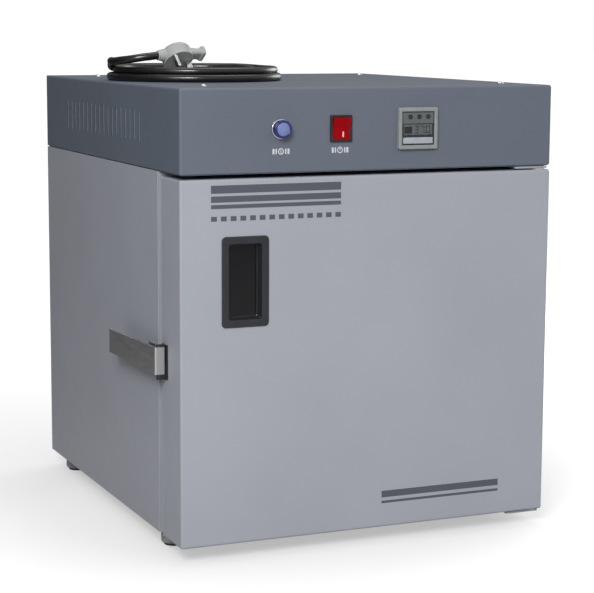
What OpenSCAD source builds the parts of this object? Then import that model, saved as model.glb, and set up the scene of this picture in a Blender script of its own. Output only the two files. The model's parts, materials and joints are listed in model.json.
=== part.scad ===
// Bench-top laboratory incubator: an insulated cabinet with a side-hinged door, a control
// housing on top and a mains lead coiled on the housing.
// The design is drawn from the cabinet's left side (x), the door's face (y) and the floor (z).
// place() then moves it, so that the origin is on the floor under the middle of the body.
// +Z is up and the door faces -Y.

/* [Body] */
// Width across the side panels
body_w = 470; // [450:2:500]
// Depth from the door's face to the back panel
body_d = 528; // [520:2:580]
// Height of the feet
foot_h = 22; // [18:1:26]
// Height of the cabinet without its feet
cabinet_h = 420.5; // [410:0.5:450]
// Height of the control housing
housing_h = 94; // [90:1:110]
// Shadow gap between the cabinet and the control housing
seam_h = 1.5; // [1:0.5:3]
// Thickness of the sheet metal
sheet = 1.5; // [1:0.1:2]

/* [Door] */
// Thickness of the door
door_t = 62; // [56:1:66]
// Space between the door and the cabinet's front frame
door_gap = 12; // [10:0.5:14]
// Space between the door's top edge and the control housing
door_top_gap = 6.3; // [6.3:0.1:8]
// How far the door hangs below the cabinet
door_drop = 1.7; // [1:0.1:1.7]
// Width of the viewing window's frame
window_w = 57; // [50:1:70]
// Height of the viewing window's frame
window_h = 103; // [90:1:120]

/* [Chamber] */
// Thickness of the insulated side walls, roof and floor
wall_t = 50; // [48:1:60]
// Depth of the chamber
chamber_d = 400; // [380:5:410]
// Height of the lower shelf over the chamber's floor
shelf_low = 108; // [90:2:120]
// Height of the upper shelf over the chamber's floor
shelf_high = 208; // [190:2:220]

/* [Controls] */
// Height of the controls' centre line over the housing's bottom edge
control_z = 47.5; // [44:0.5:52]
// Distance of the push button from the left side
button_x = 119.5; // [100:0.5:130]
// Distance of the mains switch from the left side
switch_x = 193.7; // [180:0.1:210]
// Distance of the temperature controller from the left side
controller_x = 290.2; // [270:0.1:320]

/* [Mains lead] */
// Diameter of the lead
cord_d = 9.5; // [9:0.1:9.5]

/* [Hidden] */
$fn = 48;
slack = 0.1;

// Levels and planes of the cabinet
cabinet_top = foot_h + cabinet_h;
housing_z = cabinet_top + seam_h;
top_z = housing_z + housing_h;
frame_y = door_t + door_gap;
back_y = body_d - sheet;
door_z0 = foot_h - door_drop;
door_z1 = housing_z - door_top_gap;

// Chamber, as the inside of its liner
liner_t = 1.2;
mouth_x0 = wall_t;
mouth_x1 = body_w - wall_t;
mouth_z0 = foot_h + wall_t + 3;
mouth_z1 = cabinet_top - wall_t;
chamber_back = frame_y + chamber_d;

// Feet
foot_r = 15;
foot_pad_h = 2.5;
foot_x = [25, body_w - 25];
foot_y = [frame_y + 21, body_d - 38];

// Hinge: vertical pins at the door's right front edge
hinge_x = body_w - 12;
hinge_y = 12;
pin_r = 4;
bush_r = 7;
bracket_x0 = body_w - 46;
bracket_x1 = body_w - 3;
bracket_t = 2.5;

// Latch lever on the left edge of the door
lever_z = 230;
lever_h = 32;
lever_t = 2.5;
lever_end_y = 190;
lever_face = 14.4;
lever_reach = 23;
lever_front = 45;
latch_pin_x = -8.2;
latch_pin_y = lever_front + 4;
latch_pin_r = 2.2;

// Controls, as heights over the floor
panel_z = housing_z + control_z;
button_z = panel_z + 0.5;
button_proud = 10.4;
switch_z = panel_z - 0.2;
rocker_tilt = 9;
rocker_r = 13;
controller_z = panel_z - 1.5;
bezel_w = 50;
bezel_h = 48;
bezel_proud = 5;
face_w = 41.5;
face_h = 38.5;
case_w = 44.6;
switch_w = 24.6;
switch_h = 28.2;
button_r = 8;
button_thread_r = 8.9;
key_r = 2.6;
key_pitch = 11.5;
key_z = controller_z + 13.2;

// Housing details
louvre_count = 18;
louvre_pitch = 17;
louvre_y0 = 136;
louvre_h = 36;
louvre_z0 = top_z - 65;
screw_x = [52, body_w - 34];
screw_y = [65, body_d - 65];
screw_hole_r = 2.2;
thread_r = 2;
post_w = 16;
slot_count = 8;
slot_x0 = 330;
slot_pitch = 12;

// Viewing window
window_x = 77.5;
window_z = top_z - 216;
window_rim = 9;

// Mains lead: gland at the back, coil on top, plug on the coil
cord_r = cord_d / 2;
gland_x = 235;
gland_z = top_z - 75;
gland_len = 22;
gland_thread_r = 8;
coil_x = 122;
coil_y = 283;
coil_r_out = 109.5;
coil_r_in = 90.4;
coil_h = 18.5;
plug_turn = 10;
plug_roll = 40;
plug_r = 19;
plug_t = 19;
sleeve_l = 8;
sleeve_at = [56, 234, top_z + 31.5];
// From the gland up over the back edge and round to the coil
lead_route = [
    [235, 550, top_z - 75], [235, 560, top_z - 75], [235, 577, top_z - 69],
    [235, 590, top_z - 55], [235, 595, top_z - 35], [235, 590, top_z - 15],
    [235, 575, top_z], [235, 555, top_z + 5], [235, 535, top_z + 5],
    [235, 515, top_z + 5], [235, 492, top_z + 5], [235, 468, top_z + 5],
    [232, 447, top_z + 5], [224, 428, top_z + 5], [212, 411, top_z + 5],
    [195, 399, top_z + 5], [176, 391, top_z + 5], [155, 388, top_z + 5]
];
// From the top of the coil to the plug's sleeve
tail_route = [
    [36, 333, top_z + 14], [27, 316, top_z + 19], [19, 298, top_z + 23.5],
    [13.5, 284, top_z + 24], [11.5, 271, top_z + 24], [13, 261, top_z + 24.5],
    [16.5, 252, top_z + 25.5], [22.5, 244, top_z + 26.5], [30.5, 238, top_z + 28],
    [39.5, 234.5, top_z + 29.5], [48, 233, top_z + 30.5], [56, 234, top_z + 31.5]
];

// Colours
light_grey = [0.62, 0.64, 0.67];
dark_grey = [0.36, 0.39, 0.43];
black = [0.08, 0.08, 0.09];
steel = [0.72, 0.73, 0.74];

// Moves the design from the cabinet's left front corner to the part's origin.
module place() translate([(lever_reach - body_w) / 2, (button_proud - body_d) / 2, 0]) children();

module block(lo, hi) translate(lo) cube(hi - lo);

module rod_x(x0, x1, y, z, r) translate([x0, y, z]) rotate([0, 90, 0]) cylinder(r = r, h = x1 - x0);

module rod_y(y0, y1, x, z, r) translate([x, y0, z]) rotate([-90, 0, 0]) cylinder(r = r, h = y1 - y0);

module rod_z(z0, z1, x, y, r) translate([x, y, z0]) cylinder(r = r, h = z1 - z0);

// Rectangle centred on the origin, with round corners.
module rounded_rect(w, h, r) {
    square([w - 2 * r, h], center = true);
    square([w, h - 2 * r], center = true);
    for (sx = [-1, 1], sy = [-1, 1])
        translate([sx * (w / 2 - r), sy * (h / 2 - r)]) circle(r);
}

// Upright plate with round corners, facing the front.
module face_plate(x, z, w, h, r, y0, y1)
    translate([x, y1, z]) rotate([90, 0, 0]) linear_extrude(y1 - y0) rounded_rect(w, h, r);

// Folded sheet seen from above, with rounded front corners.
module folded_outline(inset, r, depth) {
    translate([inset + r, inset]) square([body_w - 2 * inset - 2 * r, depth - inset]);
    translate([inset, inset + r]) square([body_w - 2 * inset, depth - inset - r]);
    for (x = [inset + r, body_w - inset - r]) translate([x, inset + r]) circle(r);
}

// Tube of the lead's diameter along a route of points.
function unit(v) = v / norm(v);
function heading(pts, i) =
    unit(pts[min(i + 1, len(pts) - 1)] - pts[max(i - 1, 0)]);
function ring(p, t, s, r, n) = [
    for (k = [0:n - 1]) p + r * (cos(360 * k / n) * s + sin(360 * k / n) * cross(s, t))
];
// Carries the side direction s along the route without twisting it.
function rings(pts, r, n, s, i = 0) = i == len(pts) ? [] :
    let (t = heading(pts, i), level = unit(s - (s * t) * t))
    concat(ring(pts[i], t, level, r, n), rings(pts, r, n, level, i + 1));
module tube(pts, r, n = 10) {
    count = len(pts);
    skin = [for (i = [0:count - 2], k = [0:n - 1])
        [i * n + k, i * n + (k + 1) % n, (i + 1) * n + (k + 1) % n, (i + 1) * n + k]];
    first = [for (k = [n - 1:-1:0]) k];
    last = [for (k = [0:n - 1]) (count - 1) * n + k];
    polyhedron(points = rings(pts, r, n, [1, 0, 0]), faces = concat([first], skin, [last]));
}

// ---- Cabinet ----

module side_panel(x0) color(light_grey)
    block([x0, frame_y, foot_h], [x0 + sheet, body_d, cabinet_top]);

module left_side_panel() place() side_panel(0);

module right_side_panel() place() side_panel(body_w - sheet);

module back_panel() place() color(light_grey)
    block([sheet + slack, back_y, foot_h], [body_w - sheet - slack, body_d, cabinet_top]);

module base_pan() place() color(light_grey)
    block([sheet + slack, frame_y + sheet + slack, foot_h],
          [body_w - sheet - slack, back_y - slack, foot_h + sheet]);

module roof_panel() place() color(light_grey)
    block([sheet + slack, frame_y + sheet + slack, cabinet_top - sheet],
          [body_w - sheet - slack, back_y - slack, cabinet_top]);

module front_frame() place() color(light_grey) difference() {
    block([sheet + slack, frame_y, foot_h], [body_w - sheet - slack, frame_y + sheet, cabinet_top]);
    block([mouth_x0, frame_y - 1, mouth_z0], [mouth_x1, frame_y + sheet + 1, mouth_z1]);
}

module chamber_liner() place() color(steel) difference() {
    block([mouth_x0 - liner_t, frame_y + sheet + slack, mouth_z0 - liner_t],
          [mouth_x1 + liner_t, chamber_back + liner_t, mouth_z1 + liner_t]);
    block([mouth_x0, frame_y, mouth_z0], [mouth_x1, chamber_back, mouth_z1]);
}

// Five slabs of mineral wool between the liner and the outer panels.
module cabinet_insulation() place() color("khaki") {
    gap = sheet + 2 * slack;
    out_x0 = mouth_x0 - liner_t - slack;
    out_x1 = mouth_x1 + liner_t + slack;
    low = foot_h + gap;
    high = cabinet_top - gap;
    front = frame_y + gap;
    back = back_y - slack;
    block([gap, front, low], [out_x0, back, high]);
    block([out_x1, front, low], [body_w - gap, back, high]);
    block([out_x0 + slack, front, low], [out_x1 - slack, back, mouth_z0 - liner_t - slack]);
    block([out_x0 + slack, front, mouth_z1 + liner_t + slack], [out_x1 - slack, back, high]);
    block([out_x0 + slack, chamber_back + liner_t + slack, mouth_z0 - liner_t],
          [out_x1 - slack, back, mouth_z1 + liner_t]);
}

// ---- Inside the chamber ----

rail_w = 9;
rail_t = 2.5;
shelf_rod_r = 3;

// One rail on each side wall under each shelf.
module shelf_rails() place() color(steel)
    for (z = [shelf_low, shelf_high]) {
        top = mouth_z0 + z - shelf_rod_r;
        block([mouth_x0 + slack, frame_y + 15, top - rail_t],
              [mouth_x0 + rail_w, chamber_back - 10, top]);
        block([mouth_x1 - rail_w, frame_y + 15, top - rail_t],
              [mouth_x1 - slack, chamber_back - 10, top]);
    }

// Wire shelf: a round-rod frame with closely spaced wires laid across its rods.
module wire_shelf(z) color(steel) {
    x0 = mouth_x0 + 5;
    x1 = mouth_x1 - 5;
    y0 = frame_y + 18;
    y1 = chamber_back - 12;
    wire_r = 1.5;
    wires = 14;
    for (x = [x0, x1]) rod_y(y0 - 4, y1 + 4, x, z, shelf_rod_r);
    for (y = [y0, (y0 + y1) / 2, y1]) rod_x(x0, x1, y, z, shelf_rod_r - 0.4);
    for (i = [1:wires])
        rod_y(y0 - 1.2, y1 + 1.2, x0 + i * (x1 - x0) / (wires + 1), z + 2, wire_r);
}

module lower_shelf() place() wire_shelf(mouth_z0 + shelf_low);

module upper_shelf() place() wire_shelf(mouth_z0 + shelf_high);

// U-shaped tubular heater with a fixing plate on the rear wall.
module heater_element() place() color([0.35, 0.33, 0.32]) {
    r = 4;
    bend = 30;
    x0 = mouth_x0 + 95;
    x1 = mouth_x1 - 95;
    y0 = frame_y + 40;
    z = mouth_z0 + 12;
    plate_y = chamber_back - 3;
    for (x = [x0, x1]) rod_y(y0 + bend, plate_y, x, z, r);
    rod_x(x0 + bend, x1 - bend, y0, z, r);
    translate([x0 + bend, y0 + bend, z]) rotate([0, 0, 180])
        rotate_extrude(angle = 90) translate([bend, 0]) circle(r);
    translate([x1 - bend, y0 + bend, z]) rotate([0, 0, 270])
        rotate_extrude(angle = 90) translate([bend, 0]) circle(r);
    for (x = [x0, x1]) block([x - 12, plate_y, z - 8], [x + 12, chamber_back - slack, z + 8]);
}

// Slotted false floor that covers the heater.
module heater_cover() place() color(steel) {
    x0 = mouth_x0 + 3;
    x1 = mouth_x1 - 3;
    y0 = frame_y + 8;
    y1 = chamber_back - 6;
    top = mouth_z0 + 30;
    rows = 9;
    columns = 4;
    slot_l = 60;
    slot_w = 8;
    difference() {
        block([x0, y0, top - liner_t], [x1, y1, top]);
        for (i = [1:columns], j = [1:rows])
            translate([x0 + i * (x1 - x0) / (columns + 1), y0 + j * (y1 - y0) / (rows + 1), top])
                cube([slot_l, slot_w, 4 * liner_t], center = true);
    }
    for (x = [x0, x1 - liner_t])
        block([x, y0, mouth_z0 + slack], [x + liner_t, y1, top - liner_t]);
}

module temperature_probe() place() color(steel) {
    x = body_w / 2;
    y = chamber_back - 30;
    probe_l = 70;
    tip = mouth_z1 - probe_l;
    rod_z(tip, mouth_z1 - 1, x, y, 3);
    translate([x, y, tip]) sphere(3);
    rod_z(mouth_z1 - 6, mouth_z1 - slack, x, y, 9);
}

// ---- Feet ----

// Foot with a rounded lower edge, turned about its screw.
module feet() place() color(light_grey)
    for (x = foot_x, y = foot_y) translate([x, y, 0]) rotate_extrude() {
        translate([0, foot_pad_h]) square([foot_r - 3, foot_h - foot_pad_h - slack]);
        translate([0, foot_pad_h + 3]) square([foot_r, foot_h - foot_pad_h - 3 - slack]);
        intersection() {
            translate([foot_r - 3, foot_pad_h + 3]) circle(3);
            square([foot_r, foot_h]);
        }
    }

module foot_pads() place() color(black)
    for (x = foot_x, y = foot_y) rod_z(0, foot_pad_h, x, y, foot_r - 3.5);

// ---- Control housing ----

module control_tray() place() color(dark_grey)
    block([2, 2, cabinet_top], [body_w - 2, back_y - slack, housing_z]);

module control_cover() place() color(dark_grey) difference() {
    translate([0, 0, housing_z]) linear_extrude(housing_h) folded_outline(0, 3, back_y);
    translate([0, 0, housing_z - 1]) linear_extrude(housing_h + 1 - sheet)
        folded_outline(sheet, 1.5, body_d);
    rod_y(-1, 2 * sheet, button_x, button_z, button_thread_r + 0.1);
    face_plate(switch_x, switch_z, switch_w + 0.4, switch_h + 0.4, 0.5, -1, 2 * sheet);
    face_plate(controller_x, controller_z, case_w + 0.4, case_w + 0.4, 0.5, -1, 2 * sheet);
    for (i = [0:louvre_count - 1], x = [-1, body_w - 3]) {
        y = louvre_y0 + i * louvre_pitch;
        block([x, y, louvre_z0], [x + 4, y + 3, louvre_z0 + louvre_h]);
    }
    for (x = screw_x, y = screw_y) rod_z(top_z - 2 * sheet, top_z + 1, x, y, screw_hole_r);
}

module control_back() place() color(dark_grey) difference() {
    block([0, back_y + slack, housing_z], [body_w, body_d, top_z]);
    rod_y(back_y - 1, body_d + 1, gland_x, gland_z, gland_thread_r + 0.1);
    for (i = [0:slot_count - 1]) {
        x = slot_x0 + i * slot_pitch;
        block([x, back_y - 1, housing_z + 30], [x + 4, body_d + 1, housing_z + 65]);
    }
}

// Square posts from the tray to the cover's top, under the four screws.
module cover_posts() place() color(steel)
    for (x = screw_x, y = screw_y) difference() {
        block([x - post_w / 2, y - post_w / 2, housing_z + slack],
              [x + post_w / 2, y + post_w / 2, top_z - sheet - slack]);
        rod_z(top_z - 14, top_z, x, y, thread_r + 0.05);
    }

// Screws with domed heads.
module cover_screws() place() color(steel) {
    dome_r = 5.2;
    for (x = screw_x, y = screw_y) {
        rod_z(top_z - 12, top_z + 0.5, x, y, thread_r);
        translate([x, y, top_z]) intersection() {
            translate([0, 0, -dome_r / 2]) sphere(dome_r);
            cylinder(r = 5, h = 4);
        }
    }
}

// Five screw terminals side by side on a common foot.
module terminal_block() place() color([0.9, 0.9, 0.86]) {
    terminals = 5;
    pitch = 11;
    x0 = 140;
    y0 = 430;
    depth = 22;
    z = housing_z + slack;
    for (i = [0:terminals - 1]) {
        x = x0 + i * pitch;
        block([x, y0, z], [x + pitch - 0.5, y0 + depth, z + 18]);
        rod_z(z + 18, z + 20, x + 5, y0 + depth / 2, 2.5);
    }
    block([x0, y0 + 6, z], [x0 + terminals * pitch - 0.5, y0 + depth - 6, z + 8]);
}

// Solid-state relay with a smaller cap on its body.
module heater_relay() place() color([0.25, 0.27, 0.3]) {
    low = [300, 380, housing_z + slack];
    size = [45, 60, 24];
    rim = 4;
    cap_h = 3;
    block(low, low + size);
    block(low + [rim, rim, size[2]], low + size + [-rim, -rim, cap_h]);
}

// Round thermostat on a fixing strap, with its reset pin on top.
module safety_thermostat() place() color([0.85, 0.82, 0.75]) {
    x = 240;
    y = 400;
    z = housing_z + slack;
    can_h = 18;
    rod_z(z, z + can_h, x, y, 14);
    block([x - 22, y - 6, z], [x + 22, y + 6, z + 3]);
    rod_z(z + can_h, z + can_h + 5, x, y, 5);
}

// ---- Temperature controller ----

module controller_case() place() color(black)
    face_plate(controller_x, controller_z, case_w, case_w, 1, 2 * slack, 80);

module controller_bezel() place() color([0.62, 0.64, 0.61]) difference() {
    face_plate(controller_x, controller_z, bezel_w, bezel_h, 2, -bezel_proud, -slack);
    face_plate(controller_x, controller_z, face_w, face_h, 0.8, -bezel_proud - 1, 1);
}

function key_x(i) = controller_x + 1.5 + i * key_pitch;

// Dark inner plate with round holes for the three keys and a window for the display.
module controller_face() place() color([0.2, 0.22, 0.24]) difference() {
    face_plate(controller_x, controller_z, face_w - 0.2, face_h - 0.2, 0.7, -3.5, 0);
    for (i = [-1:1]) rod_y(-4, -1, key_x(i), key_z, key_r + 0.2);
    face_plate(controller_x, controller_z - 1.5, 37.2, 12.2, 0.4, -4, -2);
    face_plate(controller_x, controller_z - 14, 38.2, 7.2, 0.4, -4, -3);
}

module controller_display() place() color([0.12, 0.13, 0.15])
    face_plate(controller_x, controller_z - 1.5, 37, 12, 0.3, -3.3, -2.05);

module controller_strip() place() color([0.85, 0.86, 0.86])
    face_plate(controller_x, controller_z - 14, 38, 7, 0.3, -3.7, -3.05);

// Keys stand 0.9 mm proud of the plate and travel 0.7 mm.
module controller_key(i) color([0.15, 0.15, 0.17]) rod_y(-4.4, -2, key_x(i), key_z, key_r);

module left_key() place() controller_key(-1);

module middle_key() place() controller_key(0);

module right_key() place() controller_key(1);

// ---- Mains switch ----

module switch_housing() place() color(black) difference() {
    union() {
        face_plate(switch_x, switch_z, switch_w + 2.4, switch_h + 2.2, 1.2, -2, -slack);
        face_plate(switch_x, switch_z, switch_w, switch_h, 0.4, -slack, 20);
    }
    block([switch_x - 10.7, -3, switch_z - 13.3], [switch_x + 10.7, 14.5, switch_z + 13.3]);
    rod_x(switch_x - 13, switch_x + 13, 0.9, switch_z, 1.56);
}

// Rocker with its lower half pressed in. Its ends are round about the pivot.
module switch_rocker() place() color([0.62, 0.06, 0.1]) translate([switch_x, 0.9, switch_z]) {
    crown = 3.2;
    rotate([rocker_tilt, 0, 0]) difference() {
        rotate([0, 90, 0]) cylinder(r = rocker_r, h = 21, center = true);
        for (s = [-1, 1]) translate([0, -crown, 0]) rotate([s * rocker_tilt, 0, 0])
            translate([-15, -40, s > 0 ? -0.01 : -39.99]) cube([30, 40, 40]);
        translate([-15, 5, -20]) cube([30, 20, 40]);
    }
    rotate([0, 90, 0]) cylinder(r = 1.5, h = 24, center = true);
}

// ---- Push button ----

module button_bezel() place() color(steel) difference() {
    union() {
        rod_y(-3, -slack, button_x, button_z, 11.5);
        rod_y(-slack, 18, button_x, button_z, button_thread_r);
    }
    rod_y(-4, 17, button_x, button_z, button_r + 0.05);
}

module button_nut() place() color(steel) difference() {
    translate([button_x, sheet + slack, button_z]) rotate([-90, 0, 0])
        cylinder(r = 13, h = 4, $fn = 6);
    rod_y(0, 8, button_x, button_z, button_thread_r + 0.05);
}

module push_button() place() color([0.16, 0.2, 0.5]) difference() {
    union() {
        rod_y(-10, -6.2, button_x, button_z, 10.4);
        rod_y(-7, 12, button_x, button_z, button_r);
    }
    rod_y(-11, -9, button_x, button_z, button_r - 0.2);
}

module button_lens() place() color([0.5, 0.56, 0.78])
    rod_y(-button_proud, -9, button_x, button_z, button_r - 0.3);

// Return spring, drawn at its pressed length behind the button's stem.
module button_spring() place() color(steel) difference() {
    rod_y(15.1, 17, button_x, button_z, 6.5);
    rod_y(15, 18, button_x, button_z, 5);
}

// ---- Hinges ----

module top_hinge_bracket() place() color(light_grey) {
    top = cabinet_top - 0.8;
    block([bracket_x0, 3, top - bracket_t], [bracket_x1, frame_y - 2, top]);
    for (x = [bracket_x0 + 8, bracket_x1 - 10], y = [34, 58]) rod_z(top, cabinet_top, x, y, 5);
    rod_z(door_z1 - 11, top - bracket_t, hinge_x, hinge_y, pin_r);
}

// Joggled plate under the door, fixed under the base round the right front foot.
module bottom_hinge_bracket() place() color(light_grey) {
    low = door_z0 - 1.2 - bracket_t;
    difference() {
        union() {
            block([bracket_x0, 5, low], [bracket_x1, frame_y - 4, low + bracket_t]);
            block([bracket_x0, frame_y - 6, low], [bracket_x1, frame_y - 3.5, foot_h]);
            block([bracket_x0, frame_y - 6, foot_h - bracket_t], [bracket_x1, frame_y + 46, foot_h]);
        }
        rod_z(low - 1, foot_h + 1, foot_x[1], foot_y[0], foot_r + 0.5);
    }
    rod_z(low, door_z0 + 11, hinge_x, hinge_y, pin_r);
}

// Flanged bushes pressed into the door's top and bottom edges.
module hinge_bushes() place() color([0.85, 0.84, 0.78])
    for (end = [0, 1]) {
        z = end == 0 ? door_z0 : door_z1;
        out = end == 0 ? -1 : 1;
        difference() {
            union() {
                rod_z(min(z, z - 13 * out), max(z, z - 13 * out), hinge_x, hinge_y, bush_r);
                rod_z(min(z, z + 0.9 * out), max(z, z + 0.9 * out), hinge_x, hinge_y, bush_r + 2);
            }
            rod_z(z - 14, z + 14, hinge_x, hinge_y, pin_r + 0.05);
        }
    }

// ---- Door ----

module door_skin() place() color(light_grey) difference() {
    translate([0, 0, door_z0]) linear_extrude(door_z1 - door_z0)
        folded_outline(0, 3, door_t - sheet - slack);
    translate([0, 0, door_z0 + sheet]) linear_extrude(door_z1 - door_z0 - 2 * sheet)
        folded_outline(sheet, 1.5, door_t);
    rod_z(door_z0 - 1, door_z1 + 1, hinge_x, hinge_y, bush_r + 0.05);
    face_plate(window_x, window_z, window_w - 4, window_h - 4, 2, -1, 4);
}

module door_liner() place() color(light_grey) difference() {
    block([0, door_t - sheet, door_z0], [body_w, door_t, door_z1]);
    face_plate(window_x, window_z, window_w - 10, window_h - 10, 2, door_t - 3, door_t + 1);
}

// Wool fill, clear of the skin's rounded corners and of the hinge bushes.
module door_insulation() place() color("khaki") difference() {
    wool_gap = 0.6;
    block([sheet + wool_gap, sheet + wool_gap, door_z0 + sheet + slack],
          [hinge_x - bush_r - 6, door_t - sheet - slack, door_z1 - sheet - slack]);
    face_plate(window_x, window_z, window_w - 3.8, window_h - 3.8, 2, 0, door_t);
}

// Magnetic gasket round the chamber's mouth.
module door_gasket() place() color(black) {
    lip = 4;
    band = 14;
    difference() {
        block([mouth_x0 - lip - band, door_t + slack, mouth_z0 - lip - band],
              [mouth_x1 + lip + band, frame_y - 0.3, mouth_z1 + lip + band]);
        block([mouth_x0 - lip, door_t, mouth_z0 - lip],
              [mouth_x1 + lip, frame_y, mouth_z1 + lip]);
    }
}

// ---- Viewing window ----

module window_frame() place() color(black) difference() {
    union() {
        face_plate(window_x, window_z, window_w, window_h, 5, -1.6, -slack);
        face_plate(window_x, window_z, window_w - 4.4, window_h - 4.4, 2, -slack, 14);
    }
    face_plate(window_x, window_z, window_w - 2 * window_rim, window_h - 2 * window_rim, 1, -3, 15);
    face_plate(window_x, window_z, window_w - 11.8, window_h - 11.8, 1, 9, 15);
}

module outer_glass() place() color([0.16, 0.17, 0.2, 0.6])
    face_plate(window_x, window_z, window_w - 12, window_h - 12, 0.8, 9.1, 12.1);

module window_duct() place() color(steel) difference() {
    face_plate(window_x, window_z, window_w - 4.4, window_h - 4.4, 2, 14.1, door_t - sheet - slack);
    face_plate(window_x, window_z, window_w - 7, window_h - 7, 1, 13, door_t);
}

module inner_glass() place() color([0.16, 0.17, 0.2, 0.6])
    face_plate(window_x, window_z, window_w - 1, window_h - 1, 2, door_t + slack, door_t + 3);

module inner_window_trim() place() color(black) difference() {
    face_plate(window_x, window_z, window_w + 5, window_h + 5, 4, door_t + slack, door_t + 5);
    face_plate(window_x, window_z, window_w - 0.8, window_h - 0.8, 2, door_t, door_t + 3.1);
    face_plate(window_x, window_z, window_w - 8, window_h - 8, 2, door_t, door_t + 6);
}

// ---- Latch ----

// Bracket on the door's left edge, with the lever's fixed pin between two lugs.
module latch_bracket() place() color([0.22, 0.23, 0.25]) {
    low = lever_z - lever_h / 2;
    high = lever_z + lever_h / 2;
    low_lug = 6;
    high_lug = 2;
    block([-1.2, lever_front - 4, low - low_lug], [-slack, door_t - 3, high + high_lug]);
    for (lug = [[low - low_lug, low], [high, high + high_lug]]) {
        block([latch_pin_x, lever_front + 1, lug[0]], [-slack, latch_pin_y + 3, lug[1]]);
        rod_z(lug[0], lug[1], latch_pin_x, latch_pin_y, 3);
    }
    rod_z(low - low_lug, high + high_lug, latch_pin_x, latch_pin_y, latch_pin_r);
}

// Strap that runs back over the cabinet's side and leans outwards. Pulling its free end
// turns it about the pin and lifts its magnet off the strike plate.
module latch_lever() place() {
    low = lever_z - lever_h / 2 + 0.3;
    high = lever_z + lever_h / 2 - 0.3;
    run = lever_end_y - lever_front;
    lean = atan2(lever_reach - lever_face, run);
    magnet_y = frame_y + 8;
    color(steel) difference() {
        union() {
            translate([0, 0, low]) linear_extrude(high - low) polygon([
                [-3, lever_front], [-lever_face, lever_front], [-lever_reach, lever_end_y],
                [lever_t - lever_reach, lever_end_y], [lever_t - lever_face, lever_front + lever_t],
                [-3, lever_front + lever_t]
            ]);
            rod_z(low, high, latch_pin_x, latch_pin_y, 4);
        }
        rod_z(low - 1, high + 1, latch_pin_x, latch_pin_y, latch_pin_r + 0.05);
        translate([-40, lever_front + 10, low - 40]) rotate([1.5, 0, 0]) cube([60, 200, 40]);
    }
    color(black) difference() {
        block([-17, magnet_y, lever_z - 10], [-2, magnet_y + 20, lever_z + 10]);
        translate([-lever_face, lever_front, 0]) rotate([0, 0, lean])
            block([-30, 0, 0], [lever_t / 2, 200, 400]);
    }
}

module strike_plate() place() color(steel)
    block([-1.5, frame_y + 6, lever_z - 13], [-slack, frame_y + 30, lever_z + 13]);

// ---- Mains lead ----

// Tapered gland: collar and body outside the back panel, thread and nut inside.
module cord_gland() place() color(black) translate([gland_x, body_d, gland_z]) rotate([-90, 0, 0])
    rotate_extrude() difference() {
        union() {
            translate([0, -14]) square([gland_thread_r, 14]);
            translate([0, -7]) square([12, 5 - slack]);
            square([12, 4]);
            polygon([[0, 4], [9.5, 4], [6.5, gland_len], [0, gland_len]]);
        }
        translate([-1, -15]) square([cord_r + 1, gland_len + 16]);
    }

module cord_lead() place() color(black) tube(lead_route, cord_r);

module cord_coil() place() color(black) translate([coil_x, coil_y, top_z + 0.1]) rotate_extrude()
    translate([coil_r_in, 0]) square([coil_r_out - coil_r_in, coil_h]);

module cord_tail() place() color(black) tube(tail_route, cord_r);

// Puts children in the plug's frame: x along the plug from the sleeve, z out of its back.
module at_plug() place() translate(sleeve_at) rotate([0, 0, plug_turn]) rotate([-plug_roll, 0, 0])
    children();

// Round moulded plug with a finger grip that ends in a raised lip.
module plug_body() color([0.73, 0.74, 0.74]) at_plug() {
    edge = 6;
    grip_x0 = sleeve_l + 1.6 * plug_r;
    grip_x1 = sleeve_l + 2 * plug_r + 19;
    rotate([0, 90, 0]) cylinder(r1 = cord_r + 0.8, r2 = 7.5, h = sleeve_l + 4);
    translate([sleeve_l + plug_r, 0, -plug_t / 2]) rotate_extrude() {
        square([plug_r, plug_t - edge]);
        square([plug_r - edge, plug_t]);
        translate([plug_r - edge, plug_t - edge]) circle(edge);
    }
    block([grip_x0, -8, -3], [grip_x1, 8, 7.5]);
    block([grip_x1 - 5, -9, -4], [grip_x1, 9, 8.5]);
}

// Rectangular pins: two near the sleeve and the longer earth pin beyond them.
module plug_pins() color(steel) at_plug() {
    pitch = 22.2;
    first = sleeve_l + 8;
    for (s = [-1, 1])
        block([first - 2, s * pitch / 2 - 3.2, -plug_t / 2 - 17.7],
              [first + 2, s * pitch / 2 + 3.2, -plug_t / 2 - slack]);
    block([first + pitch - 4, -2, -plug_t / 2 - 22.7], [first + pitch + 4, 2, -plug_t / 2 - slack]);
}

left_side_panel();
right_side_panel();
back_panel();
base_pan();
roof_panel();
front_frame();
chamber_liner();
cabinet_insulation();
shelf_rails();
lower_shelf();
upper_shelf();
heater_element();
heater_cover();
temperature_probe();
feet();
foot_pads();
control_tray();
control_cover();
control_back();
cover_posts();
cover_screws();
terminal_block();
heater_relay();
safety_thermostat();
controller_case();
controller_bezel();
controller_face();
controller_display();
controller_strip();
left_key();
middle_key();
right_key();
switch_housing();
switch_rocker();
button_bezel();
button_nut();
push_button();
button_lens();
button_spring();
top_hinge_bracket();
bottom_hinge_bracket();
strike_plate();
door_skin();
door_liner();
door_insulation();
door_gasket();
hinge_bushes();
window_frame();
outer_glass();
window_duct();
inner_glass();
inner_window_trim();
latch_bracket();
latch_lever();
cord_gland();
cord_lead();
cord_coil();
cord_tail();
plug_body();
plug_pins();
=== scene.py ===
import json
import math

import bmesh
import bpy
from mathutils import Matrix, Vector

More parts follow.
